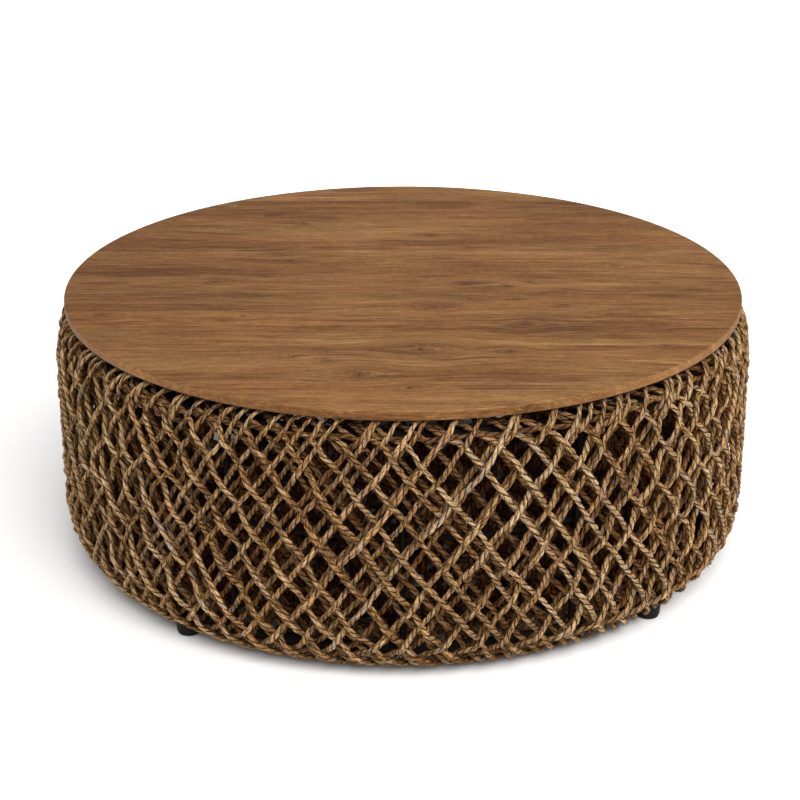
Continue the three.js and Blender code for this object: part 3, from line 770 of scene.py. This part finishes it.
first_phase = {k: np.random.default_rng(300 + ord(k)).uniform(0, 2 * math.pi, N_ROPE) for k in "ABCD"}
last_phase = {}
paths = []                       # kept for the stray fibres
for kind in "ABCDEF":
    f = fam[kind]
    end_phase = None
    if kind in "EF":
        one, two = ("B", "D") if kind == "E" else ("A", "C")
        begin = pair(angle[one][:, -1], angle[two][:, -1])
        phase = pair(last_phase[one], last_phase[two])
        true0 = pair(theta0[one], theta0[two]) + SIGN[one] * fam[one]["k"][-1]
        off = begin - true0
        theta0[kind] = true0
        end = true0 + SIGN[kind] * f["k"][-1]
        step = np.round((end - START[one] * SPACE) / (SPACE / 2)).astype(int) % 140
        end_phase = pair(first_phase[one], first_phase[two])[step]
        sway = bumps(140, f["s"], 110.0, 55 + ord(kind)) * ease(f["s"] / 60)[None, :] * ease((f["s"][-1] - f["s"]) / 60)[None, :]
        angle[kind] = true0[:, None] + SIGN[kind] * f["k"][None, :] + off[:, None] * (1 - ease(f["s"] / 120))[None, :] + sway * 2.5 / f["r"][None, :]
        angle[kind] = strayed(kind, angle[kind])
    else:
        phase = first_phase[kind]
    th = angle[kind]
    if kind in "EF":
        if "F" not in theta0:
            t = pair(theta0["A"], theta0["C"]) - fam["A"]["k"][-1]
            lift.update(interlace("F", "E", t, theta0["E"], 9, 0.0, 0.5))
        first = 1.0 if kind == "E" else -1.0
        top, rim = 1 - ease(f["s"] / 45), 1 - ease((f["s"][-1] - f["s"]) / 45)
        lift[kind] = lift[kind] * (1 - top - rim) + first * top - first * rim
    up = lift[kind] * (4.6 if kind in "EF" else HALF) + 0.5 * bumps(len(th), f["s"], 45.0, 900 + ord(kind))
    r = f["r"][None, :] + f["nr"][None, :] * up
    z = f["z"][None, :] + f["nz"][None, :] * up
    c = np.stack([r * np.cos(th), r * np.sin(th), z], -1)
    nrm = np.stack([f["nr"] * np.cos(th), f["nr"] * np.sin(th), np.broadcast_to(f["nz"], th.shape)], -1)
    # painted shade: the deeper a rope lies in the wall, the darker it is painted
    deep = 9.0 + (0 if kind in "AB" else 60.0 if kind in "EF" else np.clip((485 - f["r"]), 0, 21) * (f["z"] > 30) * (f["z"] < 345) * (f["r"] > 450))
    painted_shade = np.interp(deep - up, [4, 14, 30, 60], [1.0, 0.79, 0.46, 0.18])
    # the inner pass's painted shade varies at random from rope to rope
    if kind in "EF":
        painted_shade = painted_shade * np.random.default_rng(70 + ord(kind)).uniform(0.4, 1.45, (len(th), 1)) ** 2
    # painted shade: the left-leaning ropes are painted darker where they pass under the shoulder
    if kind in "AC":
        painted_shade = painted_shade * (1 - 0.36 * ease((f["z"] - 337) / 9) * (f["r"] < 482))[None, :]
    # painted shade: all ropes are painted darker towards the bottom rim, where they turn under
    painted_shade = painted_shade * (1 - 0.26 * ease((50 - f["z"]) / 34))[None, :]
    thick = THICK[kind] * (1 - (0.25 if kind in "BD" else 0.10) * ease((f["z"] - 337) / 15))
    edges = np.linspace(0, len(th), SECTORS[kind] + 1).round().astype(int)
    last = []
    for q in range(SECTORS[kind]):
        a, b = edges[q], edges[q + 1]
        ob, ending = two_ply(f"{NAME[kind]}_{q + 1}", c[a:b], nrm[a:b], f["s"], DETAIL[kind][1], rope, 1000 + 50 * ord(kind) + q,
                             phase[a:b], None if end_phase is None else end_phase[a:b], thick, painted_shade=painted_shade[a:b],
                             dust_and_side_shade={"A": 0.62, "B": 0.62, "C": 0.52, "D": 0.52, "E": 0.34, "F": 0.34}[kind])
        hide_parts(NODE[kind], *EXTRA.get(kind, ()))
        last.append(ending)
    last_phase[kind] = np.concatenate(last)
    if kind in "ABC":
        paths.append((c, nrm, f["z"]))

# the level rope that runs round under the shoulder, mostly behind the others
turn = np.linspace(0, 2 * math.pi, 1600)
weave = 1.8 * np.sin(turn * N_ROPE) + 0.9 * np.sin(turn * 13 + 2)
r = 473.5 + weave
level = np.stack([r * np.cos(turn), r * np.sin(turn), 342.5 + 1.4 * np.sin(turn * 35) + 1.0 * np.sin(turn * 9 + 1)], -1)[None]
out = np.stack([np.cos(turn) * 0.8, np.sin(turn) * 0.8, np.full_like(turn, 0.6)], -1)[None]
# painted shade: this row is painted dark, as it lies behind the others
ob, _ = two_ply("shoulder_twine_row", level, out, turn * 477.5, 8, rope, 77, thick=0.75, painted_shade=0.34)
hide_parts("shoulder_twine_row")

# loose fibres that stand off the ropes
g = np.random.default_rng(31)
strands = []
for c, nrm, zz in paths:
    for _ in range(560):
        i = int(g.integers(0, c.shape[0]))
        j = int(g.integers(24, c.shape[1] - 24))
        if not 14 < zz[j] < 362:
            continue
        t = c[i, j + 1] - c[i, j - 1]
        t /= np.linalg.norm(t)
        nn = nrm[i, j] / np.linalg.norm(nrm[i, j])
        bb = np.cross(t, nn)
        side = g.uniform(-1, 1)
        face = nn * math.cos(side) + bb * math.sin(side)
        length = g.uniform(4, 13)
        rise = g.uniform(0.5, 3.2)
        curl = g.normal(0, 1.6)
        sgn = 1 if g.random() < 0.5 else -1
        u = np.linspace(0, 1, 6)[:, None]
        strands.append((c[i, j] + face * 3.5 + t * sgn * length * u + face * rise * u ** 1.7 + np.cross(t, face) * curl * u ** 2, g.uniform(0.16, 0.34)))
pts, quads, tris = [], [], []
for k, (line, w) in enumerate(strands):
    d = np.gradient(line, axis=0)
    d /= np.linalg.norm(d, axis=1, keepdims=True)
    e1 = np.cross(d, [0.31, 0.52, 0.79])
    e1 /= np.linalg.norm(e1, axis=1, keepdims=True)
    e2 = np.cross(d, e1)
    base = k * 18
    for q in range(6):
        for m in range(3):
            a = 2 * math.pi * m / 3
            pts.append(line[q] + (e1[q] * math.cos(a) + e2[q] * math.sin(a)) * w * (1.0 if q < 5 else 0.35))
    for q in range(5):
        for m in range(3):
            m2 = (m + 1) % 3
            quads.append((base + q * 3 + m, base + q * 3 + m2, base + q * 3 + 3 + m2, base + q * 3 + 3 + m))
    tris += [(base + 2, base + 1, base), (base + 15, base + 16, base + 17)]
fibre, n, b = material("loose_fibre")
co = n.new("ShaderNodeTexCoord").outputs["Object"]
n.put(b.inputs["Base Color"], n.ramp(n.noise(co, 60.0, 2.0, 0.6), [(0.3, (0.20, 0.12, 0.055)), (0.7, (0.50, 0.34, 0.18))]))
n.put(b.inputs["Roughness"], n.span(n.noise(co, 400.0, 1.0, 0.5), 0.3, 0.7, 0.5, 0.75))
ob = put_mesh("loose_fibres", np.array(pts) * MM, [np.array(quads), np.array(tris)], fibre)
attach(ob, BODY)
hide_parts("outer_rope_left_lean")

# --------------------------------------------------------------- tabletop
JOINTS_Y = [-381, -252, -123, 6, 135, 264, 393]
PALE = {135: 0.75, -381: 0.42, 6: 0.12, -252: 0.10, -123: 0.16, 264: 0.12, 393: 0.16}
wood = wood_material("oiled_wood", [(y, PALE[y]) for y in JOINTS_Y])
R_TOP, Z0, Z1 = 477.0, 368.0, 380.0


def disc():
    """The whole disc with its eased edges, before it is cut into boards."""
    prof = [(0.0, Z0)]
    for a in np.linspace(-90, 0, 6):
        prof.append((R_TOP - 1.6 + 1.6 * math.cos(math.radians(a)), Z0 + 1.6 + 1.6 * math.sin(math.radians(a))))
    for a in np.linspace(0, 90, 7):
        prof.append((R_TOP - 2.0 + 2.0 * math.cos(math.radians(a)), Z1 - 2.0 + 2.0 * math.sin(math.radians(a))))
    prof.append((0.0, Z1))
    n = 288
    bm = bmesh.new()
    rings = []
    for r, z in prof:
        if r == 0:
            rings.append([bm.verts.new((0, 0, z * MM))])
            continue
        rings.append([bm.verts.new((r * math.cos(2 * math.pi * k / n) * MM, r * math.sin(2 * math.pi * k / n) * MM, z * MM)) for k in range(n)])
    for lo, hi in zip(rings, rings[1:]):
        for k in range(n):
            k2 = (k + 1) % n
            if len(lo) == 1:
                bm.faces.new((lo[0], hi[k2], hi[k]))
            elif len(hi) == 1:
                bm.faces.new((lo[k], lo[k2], hi[0]))
            else:
                bm.faces.new((lo[k], lo[k2], hi[k2], hi[k]))
    return bm


cuts = [-R_TOP - 1] + JOINTS_Y + [R_TOP + 1]
g = np.random.default_rng(8)
for i in range(len(cuts) - 1):
    bm = disc()
    for y, keep_above in ((cuts[i], True), (cuts[i + 1], False)):
        if abs(y) > R_TOP:
            continue
        gap = 0.03 if keep_above else -0.03
        geom = bm.verts[:] + bm.edges[:] + bm.faces[:]
        cut = bmesh.ops.bisect_plane(bm, geom=geom, plane_co=(0, (y + gap) * MM, 0), plane_no=(0, 1, 0),
                                     clear_inner=keep_above, clear_outer=not keep_above)
        rim = [e for e in cut["geom_cut"] if isinstance(e, bmesh.types.BMEdge)]
        for e in rim:
            e.smooth = False
        bmesh.ops.holes_fill(bm, edges=rim, sides=0)
    bmesh.ops.recalc_face_normals(bm, faces=bm.faces[:])
    me = bpy.data.meshes.new(f"top_board_{i + 1}_wood")
    bm.to_mesh(me)
    bm.free()
    for p in me.polygons:
        p.use_smooth = abs(p.normal.z) < 0.999 and abs(p.normal.y) < 0.9999
    me.materials.append(wood)
    ob = bpy.data.objects.new(f"top_board_{i + 1}_wood", me)
    scene.collection.objects.link(ob)
    for name, val in (("board_seed", g.random() * 10), ("board_tone", g.uniform(-1, 1))):
        at = me.attributes.new(name, "FLOAT", "POINT")
        at.data.foreach_set("value", np.full(len(me.vertices), val, np.float32))
    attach(ob, BODY)
    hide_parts(f"top_board_{i + 1}")

# ------------------------------------------------ finishes on the frame
steel, zinc, black = steel_material("dark_powder_coat"), screw_material("zinc_plate"), foot_material("black_moulded")
for name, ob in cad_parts.items():
    if ob.hide_render:
        continue
    mat = zinc if "screw" in name else black if name.startswith("foot") else steel
    for s in ob.material_slots:
        s.material = mat
    if not ob.material_slots:
        ob.data.materials.append(mat)

# --------------------------------------------------------- floor and light
fm, n, b = material("pale_floor")
spot = n.noise(n.new("ShaderNodeTexCoord").outputs["Object"], 3.0, 3.0, 0.5)
n.put(b.inputs["Base Color"], n.ramp(spot, [(0.3, (0.875, 0.870, 0.870)), (0.7, (0.90, 0.897, 0.895))]))
b.inputs["Roughness"].default_value = 0.9
b.inputs["Specular IOR Level"].default_value = 0.1
me = bpy.data.meshes.new("floor")
me.from_pydata([(-40, -40, 0), (40, -40, 0), (40, 40, 0), (-40, 40, 0)], [], [(0, 1, 2, 3)])
me.materials.append(fm)
floor = bpy.data.objects.new("floor", me)
scene.collection.objects.link(floor)

world = bpy.data.worlds.new("soft_studio")
scene.world = world
world.use_nodes = True
bg = world.node_tree.nodes["Background"]
bg.inputs["Color"].default_value = (1.0, 0.99, 0.98, 1)
bg.inputs["Strength"].default_value = 0.38


def area(name, place, aim, size, power, colour=(1, 1, 1)):
    light = bpy.data.lights.new(name, "AREA")
    light.shape = "RECTANGLE"
    light.size, light.size_y = size
    light.energy = power
    light.color = colour
    ob = bpy.data.objects.new(name, light)
    scene.collection.objects.link(ob)
    ob.location = place
    ob.rotation_mode = "QUATERNION"
    ob.rotation_quaternion = (Vector(aim) - Vector(place)).to_track_quat("-Z", "Y")
    return ob


area("front_right", (1.25, -1.75, 1.55), (0, 0, 0.25), (0.9, 0.8), 20, (1.0, 0.98, 0.95))
low = area("low_behind", (0.0, 2.3, 0.62), (0, 0, 0.15), (2.2, 0.5), 20, (1.0, 0.985, 0.96))
low.visible_glossy = False        # no haze on the oiled wood
sun = bpy.data.lights.new("soft_overhead", "SUN")
sun.energy = 3.35
sun.angle = math.radians(42)
sky = bpy.data.objects.new("soft_overhead", sun)
scene.collection.objects.link(sky)
sky.rotation_mode = "QUATERNION"
sky.rotation_quaternion = Vector((-0.17, 0.90, -1.0)).to_track_quat("-Z", "Y")
scene.view_settings.view_transform = "Standard"
